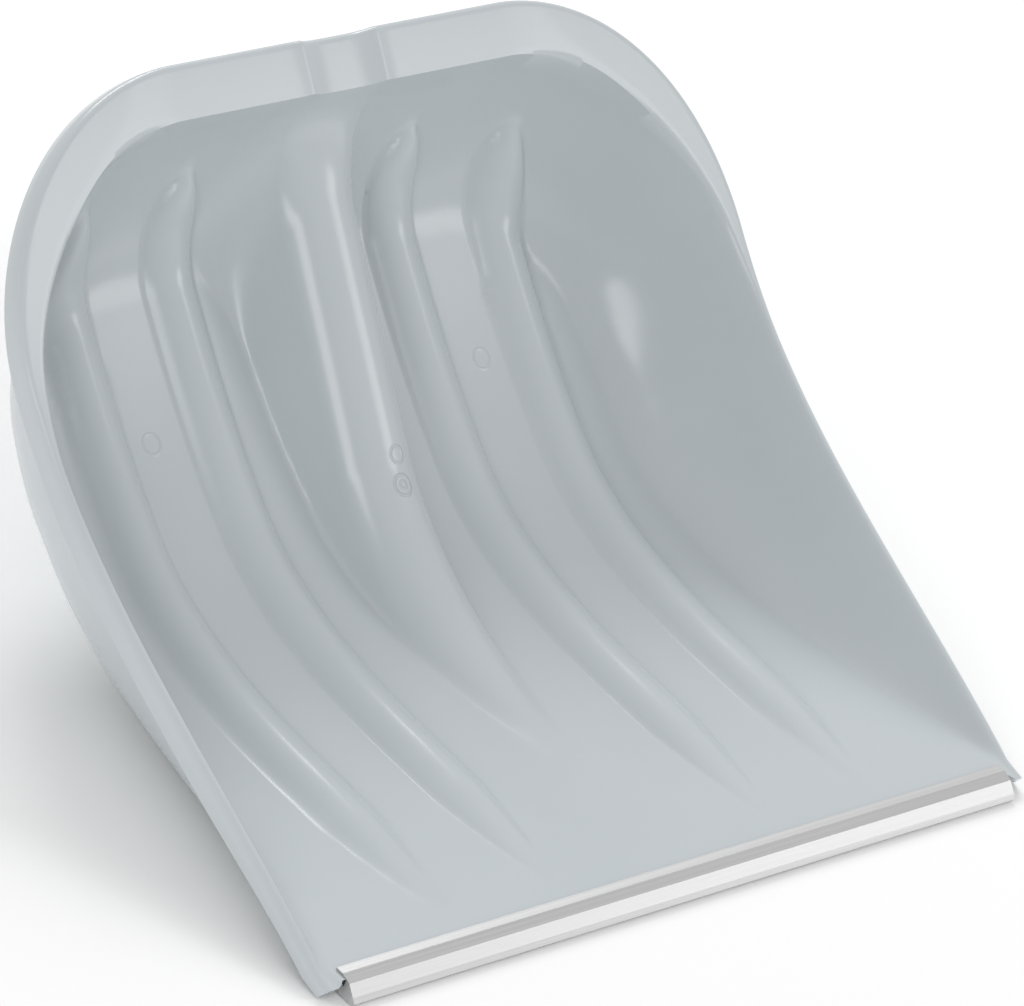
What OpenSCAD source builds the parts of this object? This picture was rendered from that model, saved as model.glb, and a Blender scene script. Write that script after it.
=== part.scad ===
// Snow shovel blade: one injection-moulded plastic scoop with a metal edge strip.
// Units are millimetres. The flat front of the scoop floor is level, +Y runs from the
// cutting edge to the back wall, +Z is up, and the origin is under the middle of the part.
// The scoop is a height w over a plan (x, u) that is tilted back by draw_angle.

/* [Plan] */
// Width of the scoop across the rim
blade_w = 418; // [340:1:500]
// Length of the rim measured in the tilted plan
blade_len = 377; // [300:1:450]
// Radius of the two back corners of the rim
corner_r = 115; // [95:1:138]
// Angle between the tilted plan and the flat front floor
draw_angle = 32; // [27:1:37]
// Thickness of the moulded wall
wall_t = 3; // [2.4:0.1:3.6]

/* [Rim] */
// Depth of the rim below a straight line from the front corner to the back
rim_sag = 30; // [24:1:37]
// Width of the flat flange along the back wall
flange_back = 24; // [20:1:29]
// Width of the rim along the front of the side walls
flange_side = 5; // [4.1:0.1:6]
// Width that the side flange gains before the back corner
flange_gain = 20; // [16:1:24]
// Height of the turned-down lip
lip_h = 7; // [5:0.5:9]
// Depth of the shallow groove across the middle of the back flange
groove_d = 3; // [2:0.1:3.6]
// Half width of that groove
groove_half = 21; // [17:1:25]

/* [Floor] */
// Length in the plan of the level front floor
floor_flat = 81; // [67:1:98]
// Depth of the scoop at its deepest line
floor_deep = 97; // [80:1:116]
// Position in the plan of the deepest line
floor_low_u = 203; // [170:1:244]
// Depth of the floor where it meets the back wall
floor_back = 76; // [63:1:92]
// Narrowing of the scoop from the back corners to the cutting edge, as a share of its width
front_taper = 0.008; // [0.006:0.001:0.01]
// Steepness of the side walls at the front
side_slope = 1.7; // [1.4:0.1:2.1]
// Reach of the curve from the back wall's top edge to the floor
back_sweep = 50; // [41:1:60]
// Softness of the fillet between floor and walls
fillet = 50; // [41:1:60]

/* [Ribs] */
// Distance from the middle to the inner rib on each side
rib_in_x = 65; // [54:0.5:78]
// Distance from the middle to the outer rib on each side
rib_out_x = 125.5; // [112:0.5:150]
// Half width of a rib at its base
rib_half = 14.5; // [12:0.5:17.5]
// Height of a rib
rib_h = 8.5; // [7:0.5:10]
// Start of the ribs' pointed front ends
rib_start = 10; // [8:1:14]

/* [Handle hump and socket] */
// Start of the hump's pointed front end
hump_start = 68; // [57:1:82]
// Place where the hump's crest starts to follow the handle
hump_mid = 205; // [170:1:246]
// Depth of the hump's crest at that place
hump_mid_w = 68; // [62:0.5:74]
// Slope of the handle against the tilted plan, in degrees
handle_tilt = 14; // [12:0.5:16]
// Wall of the hump over the socket tube
hump_wall = 2.1; // [1.7:0.1:2.6]
// Softness of the sweep from the hump's top into the back wall
hump_blend = 60; // [48:1:72]
// Radius of the socket bore that takes the handle
socket_r = 17.8; // [14.8:0.1:18.6]
// Wall of the socket tube
socket_wall = 2.6; // [2.2:0.1:3.2]
// Length of the blind socket bore
socket_len = 155; // [130:1:158]
// Distance of the fixing screw's hole from the socket's mouth
screw_at = 30; // [24:1:40]
// Radius of the hole for the handle's fixing screw
screw_r = 2.4; // [2:0.1:3]

/* [Edge strip] */
// Length of the metal edge strip
strip_len = 393; // [320:0.1:480]
// Height of the strip's top leg over the floor
strip_leg = 1.2; // [1:0.1:1.6]
// Reach of the strip in front of the moulding's front edge
strip_reach = 6.7; // [5.5:0.1:8]
// Depth of the slot that takes the moulding's front edge
strip_slot = 6.6; // [5.5:0.1:7.5]

/* [Hidden] */
sa = sin(draw_angle);
ca = cos(draw_angle);
half_w = blade_w / 2;
cx = half_w - corner_r;
cu = blade_len - corner_r;
clear = 0.25;
seat = 0.5;
socket_out_r = socket_r + socket_wall;
slot_r = socket_out_r + seat;
hump_r = slot_r + hump_wall;

function clamp(t) = min(1, max(0, t));
function ease(t) = let (c = clamp(t)) c * c * (3 - 2 * c);
function mix(a, b, t) = a + (b - a) * t;
// a cubic from (0, a) with slope ma to (len, b) with slope mb
function cubic(a, ma, b, mb, len, x) = let (t = x / len, t2 = t * t, t3 = t2 * t)
    a * (2 * t3 - 3 * t2 + 1) + ma * len * (t3 - 2 * t2 + t)
    + b * (3 * t2 - 2 * t3) + mb * len * (t3 - t2);
// a rounded maximum and a rounded minimum
function smax(a, b, k) = let (h = max(k - abs(a - b), 0) / k) max(a, b) + h * h * k / 4;
function smin(a, b, k) = -smax(-a, -b, k);

// where a plan point lies against the rim's outline: [distance inside, share of back wall]
function place(x, u) = let (qx = abs(x) - cx, qu = u - cu)
    qx <= 0 && qu <= 0 ? [corner_r - max(qx, qu), qx > qu ? 0 : 1]
    : qu <= 0 ? [corner_r - qx, 0]
    : qx <= 0 ? [corner_r - qu, 1]
    : let (r = norm([qx, qu])) [corner_r - r, pow(qu / r, 2)];
function crease_at(u, b) = mix(flange_side
    + flange_gain * ease((u - blade_len * 0.59) / (blade_len * 0.365)), flange_back, b);

rim_low = blade_len * 0.56;
function rim_w(u) = u < 0 ? -0.4 * u
    : u < rim_low ? cubic(0, -0.118, -rim_sag, 0, rim_low, u)
    : cubic(-rim_sag, 0, 1.4, 0.21, blade_len - rim_low, u - rim_low);
function lip(d) = d > 3 ? 0 : let (t = 1 - clamp(d / 3)) lip_h * (1 - sqrt(1 - t * t));
function groove(x) = abs(x) > groove_half ? 0 : groove_d * (1 - pow(x / groove_half, 4));

front_slope = -sa / ca;
flat_w = front_slope * floor_flat;
function floor_w(u) = u < floor_flat ? front_slope * u
    : u < floor_low_u
        ? cubic(flat_w, front_slope, -floor_deep, 0, floor_low_u - floor_flat, u - floor_flat)
    : cubic(-floor_deep, 0, -floor_back, 0.2, blade_len - 20 - floor_low_u, u - floor_low_u);

function rib(x, u, c, room) = let (run = clamp((u - rib_start) / 50),
    hw = rib_half * sqrt(run) * mix(0.25, 1, room) + 0.01,
    t = abs(abs(x) - c) / hw)
    t >= 1 || run <= 0 ? 0 : room * rib_h * ease((u - rib_start + 30) / 110) * sqrt(run) * (1 - t * t);

tt = tan(handle_tilt);
hump_w0 = front_slope * hump_start;
function crest(u) = u < hump_mid
    ? cubic(hump_w0, 0.8 * front_slope, -hump_mid_w, 0.6 * tt, hump_mid - hump_start, u - hump_start)
    : -hump_mid_w + (u - hump_mid) * tt;
arch_x = hump_r * sin(64);
function arch(x) = let (a = abs(x)) a < arch_x ? hump_r - sqrt(hump_r * hump_r - a * a)
    : hump_r * (1 - cos(64)) + (a - arch_x) * 2.4;

function top(x, u) = let (p = place(x, u), d = p[0], b = p[1], c = crease_at(u, b),
    s = side_slope + 0.9 * ease(u / (blade_len * 0.6)),
    r = rim_w(u), wall = r - (d - c) * s, f = floor_w(u), k = fillet * max(0.05, clamp(0.08 + u / 230)),
    back = f + (r - f) * (1 - sqrt(1 - pow(1 - clamp((d - c) / back_sweep), 2))),
    bare = mix(smax(f, wall, k), back, b), room = u < floor_low_u ? 1 : ease((r - bare - 36) / 28),
    steep = 1 + 1.6 * b * clamp((bare - f) / 30),
    base = bare + (rib(x, u, rib_in_x, room) + rib(x, u, rib_out_x, room)) * steep,
    sweep = mix(3, hump_blend, ease((u / blade_len - 0.72) / 0.2)),
    basin = u < hump_start - 6 ? base : smax(base, crest(u) - arch(x), sweep))
    smin(r - lip(d) * mix(0.6, 1, ease(u / 90)) - groove(x) * b
        + max(0, d - c - 1) * (1 - ease(u / 60)), basin, 3);

// the socket's axis over the plan, and the underside of the channel that the tube sits in
axis_w = -hump_mid_w - hump_r / cos(handle_tilt);
function axis_h(u) = axis_w + (u - hump_mid) * tt;
mouth_u = blade_len - 14;
tube_u = mouth_u - (socket_len + 4) * cos(handle_tilt);
function channel(x, u) = abs(x) > slot_r + 0.35 || u < tube_u - 18 ? -1000
    : axis_h(u) + sqrt(max(0, slot_r * slot_r - x * x)) / cos(handle_tilt);
near = [for (k = [0:7]) 0.9 * wall_t * [cos(45 * k), sin(45 * k)]];
function under(x, u) = let (h = top(x, u))
    max(min([h - wall_t, for (n = near) top(x + n[0], u + n[1]) - 0.45 * wall_t]),
        min(channel(x, u), h - 1));

// plan lines that run parallel to the rim, as distances from it
rings = [0, 1.6, 4, 12, 22, 24, 26.6, 28, 31, 36, 44, 57, 73, 80, 86, 92, 99, 108];
nr = len(rings);
mids = [1.3, 1, 0.72, 0.35, 0, -0.35, -0.72, -1, -1.3];
arch_mids = [1.62, 1.4, 1.2, 1.02, 0.98, 0.85, 0.6, 0.3, 0];
half_x = concat([for (d = rings) half_w - d * corner_r / 108],
    [for (m = mids) rib_in_x + rib_half * m], [for (m = arch_mids) slot_r * m]);
cols = concat([for (x = half_x) -x], [for (i = [len(half_x) - 2:-1:0]) half_x[i]]);
steps = 21;
rows = concat([for (d = rings) blade_len - d * corner_r / 108],
    [for (k = [1:steps]) cu * (1 - k / steps)]);
nc = len(cols);
nw = len(rows);

// the front edge: set back between the corners to leave room for the strip
edge_u = -8.4 * ca;
horn_u = -11.4 * ca;
function front_u(x) = abs(x) < half_w - 8.6 ? edge_u
    : mix(edge_u, horn_u, clamp((abs(x) - half_w + 8.6) / 1.6));
function squeeze(d, c) = d <= 22 * corner_r / 108 ? d * c / (22 * corner_r / 108)
    : c + (d - 22 * corner_r / 108) * (corner_r - c) / (corner_r * (1 - 22 / 108));
function spot(i, j) = let (x0 = cols[i], u0 = rows[j], qx = abs(x0) - cx, qu = u0 - cu,
    sx = sign(x0))
    qx > 0 && qu > 0 ? let (m = max(qx, qu), a = qx >= qu ? 45 * qu / qx : 90 - 45 * qx / qu,
        bk = pow(sin(a), 2), c = crease_at(cu + corner_r * sin(a), bk),
        r = corner_r - squeeze(corner_r - m, c))
        [sx * (cx + r * cos(a)), cu + r * sin(a)]
    : qu > 0 ? [x0, blade_len - squeeze(blade_len - u0, flange_back)]
    : let (x = qx > 0 ? sx * (half_w - squeeze(half_w - abs(x0), crease_at(u0, 0))) : x0,
        g = cu * 2.01 / steps)
        [x, u0 > g ? u0 : mix(front_u(x), g, u0 / g)];

plan = [for (j = [0:nw - 1]) [for (i = [0:nc - 1]) spot(i, j)]];
function tilt(p) = [p[0] * (1 - front_taper * (1 - clamp(p[1] / cu))), p[1] * ca - p[2] * sa, p[1] * sa + p[2] * ca];
top_pts = [for (r = plan) for (p = r) tilt([p[0], p[1], top(p[0], p[1])])];
low_pts = [for (r = plan) for (p = r) tilt([p[0], p[1], under(p[0], p[1])])];
all_pts = concat(top_pts, low_pts);
np = nc * nw;

strip_y = edge_u / ca - 0.3 + strip_slot;
nose_y = edge_u / ca - strip_reach - 1.6;
strip_low = -wall_t - 5;
handle_angle = draw_angle + handle_tilt;
mouth = tilt([0, mouth_u, axis_h(mouth_u)]);
y_back = max(mouth[1] + socket_out_r * sin(handle_angle), max([for (p = all_pts) p[1]]));
z_low = min(strip_low, min([for (p = all_pts) p[2]]));
mid_y = (y_back + nose_y) / 2;

/* Modules */
module place_part() translate([0, -mid_y, -z_low]) children();

module along_handle(p) translate(p) rotate([handle_angle - 90, 0, 0]) rotate([180, 0, 0])
    children();

module shell() {
    grid = [for (j = [0:nw - 2]) for (i = [0:nc - 2]) j * nc + i];
    polyhedron(all_pts, concat(
        [for (a = grid) [a, a + 1, a + nc + 1]], [for (a = grid) [a, a + nc + 1, a + nc]],
        [for (a = grid) [np + a, np + a + nc + 1, np + a + 1]],
        [for (a = grid) [np + a, np + a + nc, np + a + nc + 1]],
        [for (i = [0:nc - 2]) [i + 1, i, np + i]],
        [for (i = [0:nc - 2]) [i + 1, np + i, np + i + 1]],
        [for (i = [0:nc - 2]) let (a = (nw - 1) * nc + i) [a, a + 1, np + a + 1]],
        [for (i = [0:nc - 2]) let (a = (nw - 1) * nc + i) [a, np + a + 1, np + a]],
        [for (j = [0:nw - 2]) let (a = j * nc) [a, a + nc, np + a + nc]],
        [for (j = [0:nw - 2]) let (a = j * nc) [a, np + a + nc, np + a]],
        [for (j = [0:nw - 2]) let (a = j * nc + nc - 1) [a + nc, a, np + a]],
        [for (j = [0:nw - 2]) let (a = j * nc + nc - 1) [a + nc, np + a, np + a + nc]]));
}

module blade() color([0.78, 0.80, 0.82]) place_part() shell();

module handle_socket() color([0.74, 0.76, 0.78]) place_part() along_handle(mouth) difference() {
    cylinder(r = socket_out_r, h = socket_len + 4, $fn = 96);
    translate([0, 0, -1]) cylinder(r = socket_r, h = socket_len + 1, $fn = 96);
    translate([0, 0, screw_at]) rotate([90, 0, 0])
        cylinder(r = screw_r, h = socket_out_r + 6, $fn = 48);
}

module edge_strip() color([0.80, 0.80, 0.80]) place_part()
    rotate([90, 0, 90]) translate([0, 0, -strip_len / 2]) linear_extrude(strip_len)
    polygon([[strip_y, clear], [strip_y, strip_leg], [strip_y - 4, strip_leg],
        [mix(strip_y, nose_y, 0.6), -0.4], [nose_y + 1.6, strip_low + 3.6],
        [nose_y, strip_low + 1.6], [nose_y + 0.5, strip_low + 0.5], [nose_y + 2, strip_low],
        [mix(strip_y, nose_y, 0.35), strip_low],
        [strip_y, -wall_t - 1.2], [strip_y, -wall_t - clear],
        [strip_y - strip_slot, -wall_t - clear], [strip_y - strip_slot, clear]]);

blade();
handle_socket();
edge_strip();
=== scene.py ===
"""Snow shovel blade in a pale studio.

The scoop is a fine mesh of the same height formulas as the construction; the handle socket and
the edge strip are the construction's own bodies with materials."""
import math
import bmesh
import bpy
import numpy as np
from mathutils import Matrix, Vector


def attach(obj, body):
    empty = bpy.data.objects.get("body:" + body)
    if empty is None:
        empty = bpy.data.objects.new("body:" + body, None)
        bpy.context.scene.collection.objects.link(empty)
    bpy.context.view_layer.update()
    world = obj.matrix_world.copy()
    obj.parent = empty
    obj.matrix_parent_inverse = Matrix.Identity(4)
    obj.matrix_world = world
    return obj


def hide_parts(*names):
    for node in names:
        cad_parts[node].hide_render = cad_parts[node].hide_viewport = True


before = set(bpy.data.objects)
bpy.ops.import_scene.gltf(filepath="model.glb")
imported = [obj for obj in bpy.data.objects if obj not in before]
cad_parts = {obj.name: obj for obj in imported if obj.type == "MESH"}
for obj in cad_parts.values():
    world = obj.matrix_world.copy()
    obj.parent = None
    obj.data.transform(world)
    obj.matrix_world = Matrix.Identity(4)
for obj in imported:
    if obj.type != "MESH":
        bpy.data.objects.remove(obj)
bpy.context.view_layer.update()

MM = 0.001
SHIFT_Y = 166.768  # from the front of the floor to the middle of the part
LIFT_Z = 8.0  # from the underside of the strip to the floor's upper face


# ---------------------------------------------------------------- shape of the scoop, in millimetres
BLADE_W, BLADE_LEN, CORNER_R, TAPER = 418.0, 377.0, 115.0, 0.008
DRAW = math.radians(32.0)
WALL_T = 3.0
RIM_SAG, FLANGE_BACK, FLANGE_SIDE, FLANGE_GAIN = 30.0, 24.0, 5.0, 20.0
LIP_H, GROOVE_D, GROOVE_HALF = 7.0, 3.0, 21.0
FLOOR_FLAT, FLOOR_DEEP, FLOOR_LOW, FLOOR_BACK = 81.0, 97.0, 203.0, 76.0
SIDE_SLOPE, BACK_SWEEP, FILLET, HUMP_BLEND = 1.7, 50.0, 50.0, 60.0
RIB_IN, RIB_OUT, RIB_HALF, RIB_H, RIB_START = 65.0, 125.5, 14.5, 8.5, 10.0
HUMP_START, HUMP_MID, HUMP_W = 68.0, 205.0, 68.0
TILT = math.radians(14.0)
SLOT_R, HUMP_R, SOCKET_LEN = 20.9, 23.0, 155.0
ARCH_HALF = math.radians(64)  # how far round the hump's crown is a true arc
SA, CA, TT = math.sin(DRAW), math.cos(DRAW), math.tan(TILT)
HALF_W = BLADE_W / 2
CX, CU = HALF_W - CORNER_R, BLADE_LEN - CORNER_R
RIM_LOW = BLADE_LEN * 0.56
FRONT = -SA / CA
EDGE_U, HORN_U = -8.4 * CA, -11.4 * CA
HORN_W, FRONT_BAND = 8.6, 24.0  # width of the corner horns; depth over which the front edge is set back


def ease(t):
    c = np.clip(t, 0.0, 1.0)
    return c * c * (3 - 2 * c)


def mix(a, b, t):
    return a + (b - a) * t


def cubic(a, ma, b, mb, length, x):
    t = x / length
    return (a * (2 * t**3 - 3 * t**2 + 1) + ma * length * (t**3 - 2 * t**2 + t)
            + b * (3 * t**2 - 2 * t**3) + mb * length * (t**3 - t**2))


def smax(a, b, k):
    h = np.maximum(k - np.abs(a - b), 0) / k
    return np.maximum(a, b) + h * h * k / 4


def smin(a, b, k):
    return -smax(-a, -b, k)


def place(x, u):
    """Distance inside the rim's outline, and how much a point belongs to the back wall."""
    qx, qu = np.abs(x) - CX, u - CU
    r = np.hypot(qx, qu)
    inner = (qx <= 0) & (qu <= 0)
    d = np.where(inner, CORNER_R - np.maximum(qx, qu),
                 np.where(qu <= 0, CORNER_R - qx, np.where(qx <= 0, CORNER_R - qu, CORNER_R - r)))
    b = np.where(inner, (qx <= qu) * 1.0,
                 np.where(qu <= 0, 0.0, np.where(qx <= 0, 1.0, (qu / np.maximum(r, 1e-6)) ** 2)))
    return d, b


def crease_at(u, b):
    side = FLANGE_SIDE + FLANGE_GAIN * ease((u - BLADE_LEN * 0.59) / (BLADE_LEN * 0.365))
    return mix(side, FLANGE_BACK, b)


def rim_w(u):
    return np.where(u < 0, -0.4 * u, np.where(
        u < RIM_LOW, cubic(0, -0.118, -RIM_SAG, 0, RIM_LOW, u),
        cubic(-RIM_SAG, 0, 1.4, 0.21, BLADE_LEN - RIM_LOW, u - RIM_LOW)))


def lip(d):
    t = 1 - np.clip(d / 3, 0, 1)
    return LIP_H * (1 - np.sqrt(1 - t * t))


def groove(x):
    return np.where(np.abs(x) > GROOVE_HALF, 0,
                    GROOVE_D * (1 - (x / GROOVE_HALF) ** 4))


def floor_w(u):
    low = FRONT * FLOOR_FLAT
    return np.where(u < FLOOR_FLAT, FRONT * u, np.where(
        u < FLOOR_LOW, cubic(low, FRONT, -FLOOR_DEEP, 0, FLOOR_LOW - FLOOR_FLAT, u - FLOOR_FLAT),
        cubic(-FLOOR_DEEP, 0, -FLOOR_BACK, 0.2, BLADE_LEN - 20 - FLOOR_LOW, u - FLOOR_LOW)))


def rib(x, u, c, room):
    run = np.clip((u - RIB_START) / 50, 0, 1)
    t = np.abs(np.abs(x) - c) / (RIB_HALF * np.sqrt(run) * mix(0.25, 1, room) + 0.01)
    rise = room * RIB_H * ease((u - RIB_START + 30) / 110) * np.sqrt(run)
    return np.where(t >= 1, 0, rise * (1 - t * t))


def crest(u):
    rise = cubic(FRONT * HUMP_START, 0.8 * FRONT, -HUMP_W, 0.6 * TT, HUMP_MID - HUMP_START, u - HUMP_START)
    return np.where(u < HUMP_MID, rise, -HUMP_W + (u - HUMP_MID) * TT)


def arch(x):
    a, edge = np.abs(x), HUMP_R * math.sin(ARCH_HALF)
    bow = HUMP_R - np.sqrt(np.maximum(HUMP_R**2 - a * a, 0))
    return np.where(a < edge, bow, HUMP_R * (1 - math.cos(ARCH_HALF)) + (a - edge) * 2.4)


def top(x, u):
    """Height of the scoop's upper face over the tilted plan."""
    d, b = place(x, u)
    c = crease_at(u, b)
    slope = SIDE_SLOPE + 0.9 * ease(u / (BLADE_LEN * 0.6))
    r = rim_w(u)
    wall = r - (d - c) * slope
    f = floor_w(u)
    k = FILLET * np.clip(0.08 + u / 230, 0.05, 1)
    back = f + (r - f) * (1 - np.sqrt(1 - (1 - np.clip((d - c) / BACK_SWEEP, 0, 1)) ** 2))
    bare = mix(smax(f, wall, k), back, b)
    room = np.where(u < FLOOR_LOW, 1.0, ease((r - bare - 36) / 28))
    steep = 1 + 1.6 * b * np.clip((bare - f) / 30, 0, 1)
    base = bare + (rib(x, u, RIB_IN, room) + rib(x, u, RIB_OUT, room)) * steep
    sweep = mix(3, HUMP_BLEND, ease((u / BLADE_LEN - 0.72) / 0.2))
    basin = np.where(u < HUMP_START - 6, base, smax(base, crest(u) - arch(x), sweep))
    rim = r - lip(d) * mix(0.6, 1, ease(u / 90)) - groove(x) * b
    rim = rim + np.maximum(0, d - c - 1) * (1 - ease(u / 60))
    return smin(rim, basin, 3)


AXIS_W = -HUMP_W - HUMP_R / math.cos(TILT)
MOUTH_U = BLADE_LEN - 14
TUBE_U = MOUTH_U - (SOCKET_LEN + 4) * math.cos(TILT)


def under(x, u):
    """Height of the scoop's lower face, one wall thickness below the upper face."""
    h = top(x, u)
    low = h - WALL_T
    reach = 0.9 * WALL_T
    for k in range(8):
        near_x, near_u = x + reach * math.cos(math.pi * k / 4), u + reach * math.sin(math.pi * k / 4)
        low = np.minimum(low, top(near_x, near_u) - 0.45 * WALL_T)
    tube = AXIS_W + (u - HUMP_MID) * TT + np.sqrt(np.maximum(0, SLOT_R**2 - x * x)) / math.cos(TILT)
    tube = np.where((np.abs(x) > SLOT_R + 0.35) | (u < TUBE_U - 18), -1000, tube)
    return np.maximum(low, np.minimum(tube, h - 1))


def finer(lines, step):
    """The same plan lines with evenly spaced ones between them, none further apart than step."""
    out = []
    for a, b in zip(lines, lines[1:]):
        n = max(1, math.ceil(abs(b - a) / step))
        out += [a + (b - a) * k / n for k in range(n)]
    return out + [lines[-1]]


def squeeze(d, c):
    k = 22 * CORNER_R / 108
    return np.where(d <= k, d * c / k, c + (d - k) * (CORNER_R - c) / (CORNER_R - k))


def spot(x0, u0):
    """Plan position of a grid point: lines near the rim run parallel to it round the corners."""
    qx, qu, sx = np.abs(x0) - CX, u0 - CU, np.sign(x0)
    m = np.maximum(qx, qu)
    safe = np.maximum(m, 1e-6)
    a = np.radians(np.where(qx >= qu, 45 * qu / safe, 90 - 45 * qx / safe))
    r = CORNER_R - squeeze(CORNER_R - m, crease_at(CU + CORNER_R * np.sin(a), np.sin(a) ** 2))
    side = np.where(qx > 0, sx * (HALF_W - squeeze(HALF_W - np.abs(x0), crease_at(u0, 0))), x0)
    corner = (qx > 0) & (qu > 0)
    x = np.where(corner, sx * (CX + r * np.cos(a)), np.where(qu > 0, x0, side))
    horn = np.clip((np.abs(x) - HALF_W + HORN_W) / 1.6, 0, 1)
    edge = mix(EDGE_U, HORN_U, horn)
    low = np.where(u0 > FRONT_BAND, u0, mix(edge, FRONT_BAND, u0 / FRONT_BAND))
    back = BLADE_LEN - squeeze(BLADE_LEN - u0, FLANGE_BACK)
    return x, np.where(corner, CU + r * np.sin(a), np.where(qu > 0, back, low))


def tilted(x, u, w):
    """From the tilted plan to the part's frame, in metres."""
    narrow = 1 - TAPER * (1 - np.clip(u / CU, 0, 1))
    return x * narrow * MM, (u * CA - w * SA - SHIFT_Y) * MM, (u * SA + w * CA + LIFT_Z) * MM


# ---------------------------------------------------------------- small helpers
def srgb(h):
    v = [int(h[i:i + 2], 16) / 255 for i in (1, 3, 5)]
    return tuple(c / 12.92 if c <= 0.04045 else ((c + 0.055) / 1.055) ** 2.4 for c in v) + (1.0,)


def material(name):
    m = bpy.data.materials.new(name)
    m.use_nodes = True
    t = m.node_tree
    t.nodes.clear()
    return m, t


def add(t, kind, inputs=None, **props):
    n = t.nodes.new(kind)
    for k, v in props.items():
        setattr(n, k, v)
    for k, v in (inputs or {}).items():
        if isinstance(v, bpy.types.NodeSocket):
            t.links.new(v, n.inputs[k])
        else:
            n.inputs[k].default_value = v
    return n


def piece(name, bm, mat, slot, *nodes):
    """A finished mesh piece that rides on the part and stands for the named CAD nodes."""
    mesh = bpy.data.meshes.new(name)
    bm.to_mesh(mesh)
    bm.free()
    mesh.materials.append(mat)
    o = bpy.data.objects.new(name, mesh)
    bpy.context.scene.collection.objects.link(o)
    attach(o, "root")
    if nodes:
        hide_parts(*nodes)
    return o


def smooth(bm, angle=40):
    for f in bm.faces:
        f.smooth = True
    for e in bm.edges:
        if len(e.link_faces) == 2 and e.calc_face_angle(0) > math.radians(angle):
            e.smooth = False


# ---------------------------------------------------------------- materials
# centre, radius, line width and height of each moulding mark, in metres
GATE = [((0.002, 0.0362, 0.0533), 0.0046, 0.0011, 1.0), ((0.002, 0.0362, 0.0533), 0.0018, 0.001, 0.8),
        ((0.0035, 0.046, 0.0622), 0.0038, 0.001, 0.7)]
EJECTOR = [((-0.098, 0.0905, 0.0572), 0.0046, 0.0009, 0.5), ((0.097, 0.093, 0.0592), 0.0046, 0.0009, 0.4)]


def ring(t, pos, at, radius, width, height):
    """A raised ring round a point on the surface, as left by a gate or an ejector pin."""
    off = add(t, "ShaderNodeVectorMath", {0: pos, 1: at}, operation="DISTANCE").outputs["Value"]
    off = add(t, "ShaderNodeMath", {0: off, 1: radius}, operation="SUBTRACT").outputs[0]
    off = add(t, "ShaderNodeMath", {0: off}, operation="ABSOLUTE").outputs[0]
    return add(t, "ShaderNodeMapRange", {"Value": off, "From Min": 0.0, "From Max": width, "To Min": height,
                                         "To Max": 0.0}, interpolation_type="SMOOTHSTEP").outputs[0]


def moulded_plastic():
    """Polypropylene, injection moulded in a polished mould: glossy, cool light grey, with faint haze."""
    m, t = material("moulded_polypropylene")
    pos = add(t, "ShaderNodeTexCoord").outputs["Object"]
    # haze in patches of about 110 mm; the fine grain is about 1 mm, coarse enough to show
    haze = add(t, "ShaderNodeTexNoise", {"Vector": pos, "Scale": 9.0, "Detail": 3.0, "Roughness": 0.5})
    col = add(t, "ShaderNodeMix", {"Factor": haze.outputs["Fac"], "A": srgb("#BFC6C9"), "B": srgb("#C9CFD2")},
              data_type="RGBA")
    fine = add(t, "ShaderNodeTexNoise", {"Vector": pos, "Scale": 900.0, "Detail": 2.0})
    rough = add(t, "ShaderNodeMapRange", {"Value": haze.outputs["Fac"], "To Min": 0.17, "To Max": 0.25})
    bump = add(t, "ShaderNodeBump", {"Height": fine.outputs["Fac"], "Strength": 0.05, "Distance": 0.0002})
    total = 0.0
    for mark in GATE + EJECTOR:
        total = add(t, "ShaderNodeMath", {0: ring(t, pos, *mark), 1: total}, operation="ADD").outputs[0]
    bump = add(t, "ShaderNodeBump", {"Height": total, "Strength": 0.8, "Distance": 0.0006,
                                     "Normal": bump.outputs[0]})
    s = add(t, "ShaderNodeBsdfPrincipled", {"Base Color": col.outputs[2], "Roughness": rough.outputs[0],
                                            "IOR": 1.49, "Normal": bump.outputs[0]})
    add(t, "ShaderNodeOutputMaterial", {"Surface": s.outputs[0]})
    return m


def brushed_aluminium():
    """Aluminium, extruded and brushed: fine lines along the strip, wide soft highlights."""
    m, t = material("brushed_aluminium")
    pos = add(t, "ShaderNodeTexCoord").outputs["Object"]
    flat = add(t, "ShaderNodeMapping", {"Vector": pos, "Scale": (4.0, 900.0, 900.0)})
    # lines about 1 mm apart and 250 mm long, coarser than real brushing so that they show
    lines = add(t, "ShaderNodeTexNoise", {"Vector": flat.outputs[0], "Scale": 1.0, "Detail": 4.0,
                                          "Roughness": 0.6})
    col = add(t, "ShaderNodeMix", {"Factor": lines.outputs["Fac"], "A": srgb("#C2C2C2"),
                                   "B": srgb("#DCDCDC")}, data_type="RGBA")
    rough = add(t, "ShaderNodeMapRange", {"Value": lines.outputs["Fac"], "To Min": 0.42, "To Max": 0.55})
    bump = add(t, "ShaderNodeBump", {"Height": lines.outputs["Fac"], "Strength": 0.25, "Distance": 0.0003})
    s = add(t, "ShaderNodeBsdfPrincipled", {"Base Color": col.outputs[2], "Metallic": 1.0,
                                            "Roughness": rough.outputs[0], "Normal": bump.outputs[0]})
    add(t, "ShaderNodeOutputMaterial", {"Surface": s.outputs[0]})
    return m


PLASTIC, METAL = moulded_plastic(), brushed_aluminium()

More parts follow.
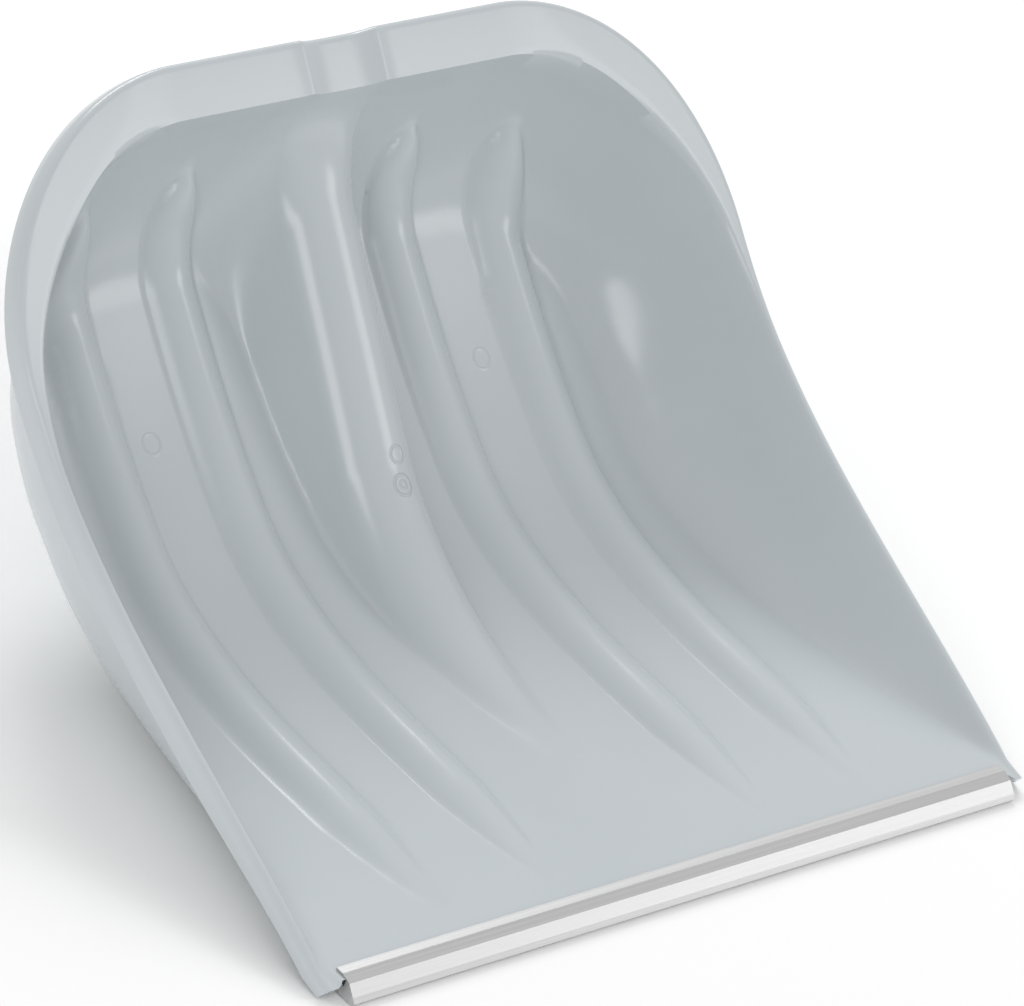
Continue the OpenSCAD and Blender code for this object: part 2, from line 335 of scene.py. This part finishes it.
# ---------------------------------------------------------------- the scoop
RINGS = [0, 0.8, 1.6, 2.6, 4, 12, 19, 20.5, 22, 23, 24, 26.6, 28, 31, 36, 44, 57, 73, 86, 99, 108]
RINGS = [d * CORNER_R / 108 for d in RINGS]
half_x = finer([HALF_W - d for d in RINGS], 2.6)
half_x += finer([CX] + [RIB_IN + RIB_HALF * k for k in (1.3, 1, 0.5, 0, -0.5, -1, -1.3)]
                + [SLOT_R * k for k in (1.62, 1.4, 1.2, 1.02)], 1.5)[1:]
half_x += finer([SLOT_R * k for k in (0.98, 0.85, 0.6, 0.3, 0.0)], 1.8)
cols = [-x for x in half_x] + half_x[-2::-1]
rows = finer([BLADE_LEN - d for d in RINGS], 2.2) + finer([CU, FRONT_BAND, 0.0], 2.6)[1:]
gx, gu = np.meshgrid(np.array(cols), np.array(rows))
px, pu = spot(gx.ravel(), gu.ravel())
faces_xyz = [np.array(tilted(px, pu, f(px, pu))).T for f in (top, under)]

bm = bmesh.new()
loops = []
for points in faces_xyz:
    # create_grid gives its vertices row by row, from low Y to high Y
    made = bmesh.ops.create_grid(bm, x_segments=len(cols) - 1, y_segments=len(rows) - 1, size=1.0)["verts"]
    for v, p in zip(made, points):
        v.co = p
    group = set(made)
    loops.append([e for e in bm.edges if e.is_boundary and e.verts[0] in group])
bmesh.ops.bridge_loops(bm, edges=loops[0] + loops[1])
bmesh.ops.recalc_face_normals(bm, faces=bm.faces[:])
smooth(bm, 50)
piece("scoop", bm, PLASTIC, "blade_plastic", "blade")

for name, mat in (("handle_socket", PLASTIC), ("edge_strip", METAL)):
    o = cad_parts[name]
    for s in o.material_slots:
        s.material = mat

# ---------------------------------------------------------------- studio
fm, ft = material("studio_floor")
fs = add(ft, "ShaderNodeBsdfDiffuse", {"Color": srgb("#FFFFFF")})
add(ft, "ShaderNodeOutputMaterial", {"Surface": fs.outputs[0]})
bm = bmesh.new()
bmesh.ops.create_grid(bm, x_segments=1, y_segments=1, size=6.0)
mesh = bpy.data.meshes.new("studio_floor")
bm.to_mesh(mesh)
bm.free()
mesh.materials.append(fm)
ground = bpy.data.objects.new("studio_floor", mesh)
ground.location.z = -0.0005
bpy.context.scene.collection.objects.link(ground)

world = bpy.data.worlds.new("studio")
bpy.context.scene.world = world
world.use_nodes = True
wt = world.node_tree
wt.nodes.clear()
bg = add(wt, "ShaderNodeBackground", {"Color": (1, 1, 1, 1), "Strength": 0.64})
add(wt, "ShaderNodeOutputWorld", {"Surface": bg.outputs[0]})


def softbox(name, at, aim, size, watts):
    d = bpy.data.lights.new(name, "AREA")
    d.shape, d.size, d.size_y, d.energy = "RECTANGLE", size[0], size[1], watts
    o = bpy.data.objects.new(name, d)
    o.location = at
    o.rotation_euler = (Vector(aim) - Vector(at)).to_track_quat("-Z", "Y").to_euler()
    bpy.context.scene.collection.objects.link(o)


# The key stands behind; right and left show as patches on the back wall and the right back corner
softbox("key", (0.9, 1.7, 1.7), (0, 0, 0.08), (1.3, 0.8), 25)
softbox("right", (1.4, -1.15, 1.05), (0, 0.1, 0.12), (0.7, 0.9), 6)
softbox("left", (-1.55, -0.8, 0.85), (0.1, 0.05, 0.08), (0.5, 0.9), 6)


# ---------------------------------------------------------------- camera
RIGHT = Vector((0.7061, -0.6364, 0.3104)).normalized()
BACK = RIGHT.cross(Vector((0.1800, 0.5853, 0.7906))).normalized()
UP = BACK.cross(RIGHT)
cam = bpy.data.cameras.new("camera")
cam.lens, cam.sensor_width, cam.clip_end = 274.77, 36.0, 50.0
camera = bpy.data.objects.new("camera", cam)
eye = Vector((-2224.4, -1486.57 - SHIFT_Y, 1793.34 + LIFT_Z)) * MM
camera.matrix_world = Matrix.Translation(eye) @ Matrix((RIGHT, UP, BACK)).transposed().to_4x4()
bpy.context.scene.collection.objects.link(camera)
bpy.context.scene.camera = camera
bpy.context.scene.view_settings.view_transform = "Standard"
